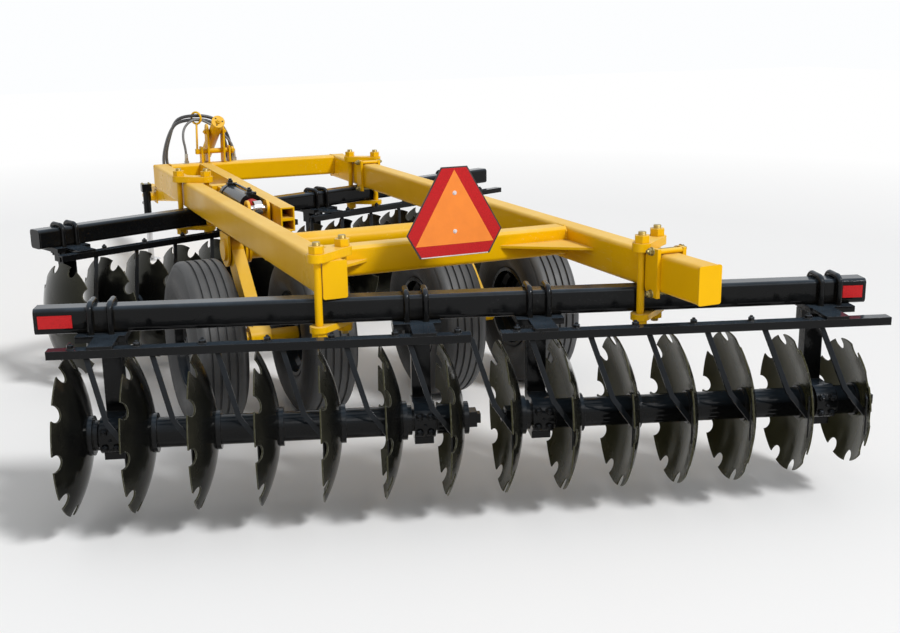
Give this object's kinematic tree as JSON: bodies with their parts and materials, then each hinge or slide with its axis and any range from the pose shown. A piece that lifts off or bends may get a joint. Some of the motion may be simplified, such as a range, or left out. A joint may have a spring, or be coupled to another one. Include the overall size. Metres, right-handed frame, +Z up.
{
  "type": "disc harrow",
  "caption": "Trailed offset disc harrow: two slanted gangs of notched discs under a yellow tube frame, transport wheels on a hydraulic lift, drawbar with levelling screw and parking jack",
  "frame": {"origin": "middle of the bounding box in plan, on the ground, hoses and their couplers left out", "axes": "+X to the machine's right, +Y forward toward the hitch, +Z up"},
  "size_m": [3.4286, 7.3326, 1.351],
  "materials": {
    "yellow_paint": "semi_gloss",
    "black_paint": "gloss",
    "blade_steel": "gloss",
    "tyre_rubber": "matte",
    "bright_rod": "polished",
    "red_paint": "semi_gloss",
    "hose_rubber": "satin",
    "plated_steel": "satin",
    "emblem_orange": "satin",
    "reflector_red": "gloss"
  },
  "bodies": {
    "frame": {"left_rail": "yellow_paint", "right_rail": "yellow_paint", "rear_cross_tube": "yellow_paint", "front_cross_tube": "yellow_paint", "rail_caps": "yellow_paint", "clamp_plates": "yellow_paint", "clamp_bolts": "yellow_paint", "stop_collars": "yellow_paint", "rockshaft_bearings": "yellow_paint", "centre_beam": "yellow_paint", "cylinder_mount": "yellow_paint", "tongue": "yellow_paint", "tongue_bracket": "yellow_paint", "hitch_clevis": "yellow_paint", "mast": "yellow_paint", "levelling_screw": "yellow_paint", "hose_holder": "yellow_paint", "jack_mount": "yellow_paint", "emblem_bracket": "yellow_paint", "rear_gang_bar": "black_paint", "front_gang_bar": "black_paint", "bar_caps": "black_paint", "rear_hangers": "black_paint", "front_hangers": "black_paint", "rear_u_bolts": "black_paint", "front_u_bolts": "black_paint", "rear_scraper_bars": "black_paint", "front_scraper_bars": "black_paint", "rear_scrapers": "black_paint", "front_scrapers": "black_paint", "hose_left": "hose_rubber", "hose_right": "hose_rubber", "hose_short": "hose_rubber", "hose_fittings": "plated_steel", "hose_couplers": "plated_steel", "emblem": "emblem_orange", "reflectors": "reflector_red"},
    "rear_left_gang": {"rear_left_discs": "blade_steel", "rear_left_spools": "black_paint"},
    "rear_right_gang": {"rear_right_discs": "blade_steel", "rear_right_spools": "black_paint"},
    "front_left_gang": {"front_left_discs": "blade_steel", "front_left_spools": "black_paint"},
    "front_right_gang": {"front_right_discs": "blade_steel", "front_right_spools": "black_paint"},
    "lift": {"rockshaft": "yellow_paint", "wheel_legs": "yellow_paint"},
    "transport_wheel_1": {"tyre_1": "tyre_rubber", "wheel_1": "black_paint"},
    "transport_wheel_2": {"tyre_2": "tyre_rubber", "wheel_2": "black_paint"},
    "transport_wheel_3": {"tyre_3": "tyre_rubber", "wheel_3": "black_paint"},
    "transport_wheel_4": {"tyre_4": "tyre_rubber", "wheel_4": "black_paint"},
    "cylinder_barrel": {"lift_cylinder_barrel": "black_paint"},
    "cylinder_rod": {"lift_cylinder_rod": "bright_rod", "stroke_stops": "red_paint"},
    "jack": {"jack_tube": "black_paint", "jack_leg": "bright_rod"}
  },
  "joints": [
    {"name": "rear_left_gang_spin", "type": "hinge", "parent": "frame", "child": "rear_left_gang", "pos_m": [-0.14749, -2.94957, 0.379], "axis": [0.9519, -0.3064, 0], "continuous": true},
    {"name": "rear_right_gang_spin", "type": "hinge", "parent": "frame", "child": "rear_right_gang", "pos_m": [-0.14749, -2.94957, 0.379], "axis": [0.9519, -0.3064, 0], "continuous": true},
    {"name": "front_left_gang_spin", "type": "hinge", "parent": "frame", "child": "front_left_gang", "pos_m": [0.11975, 0.0071, 0.379], "axis": [0.9365, 0.3507, 0], "continuous": true},
    {"name": "front_right_gang_spin", "type": "hinge", "parent": "frame", "child": "front_right_gang", "pos_m": [0.11975, 0.0071, 0.379], "axis": [0.9365, 0.3507, 0], "continuous": true},
    {"name": "lift_swing", "type": "hinge", "parent": "frame", "child": "lift", "pos_m": [0.00416, -1.06871, 0.78], "axis": [1, 0, 0], "range_deg": [0, 35]},
    {"name": "barrel_swing", "type": "hinge", "parent": "frame", "child": "cylinder_barrel", "pos_m": [-0.48684, -0.44871, 0.985], "axis": [1, 0, 0], "range_deg": [-1, 6]},
    {"name": "rod_stroke", "type": "slide", "parent": "cylinder_barrel", "child": "cylinder_rod", "axis": [0, -1, 0.0075], "range_m": [-0.002, 0.116]},
    {"name": "jack_swing", "type": "hinge", "parent": "frame", "child": "jack", "pos_m": [-0.39434, 2.84129, 0.53], "axis": [1, 0, 0], "range_deg": [0, 90]},
    {"name": "transport_wheel_1_spin", "type": "hinge", "parent": "lift", "child": "transport_wheel_1", "pos_m": [-0.87384, -1.48271, 0.408], "axis": [1, 0, 0], "continuous": true},
    {"name": "transport_wheel_2_spin", "type": "hinge", "parent": "lift", "child": "transport_wheel_2", "pos_m": [-0.33784, -1.48271, 0.408], "axis": [1, 0, 0], "continuous": true},
    {"name": "transport_wheel_3_spin", "type": "hinge", "parent": "lift", "child": "transport_wheel_3", "pos_m": [0.34616, -1.48271, 0.408], "axis": [1, 0, 0], "continuous": true},
    {"name": "transport_wheel_4_spin", "type": "hinge", "parent": "lift", "child": "transport_wheel_4", "pos_m": [0.88216, -1.48271, 0.408], "axis": [1, 0, 0], "continuous": true}
  ],
  "couplings": [
    {"joint": "barrel_swing", "follows": "lift_swing", "ratio": 0.1412},
    {"joint": "rod_stroke", "follows": "lift_swing", "m_per_rad": 0.1863}
  ]
}
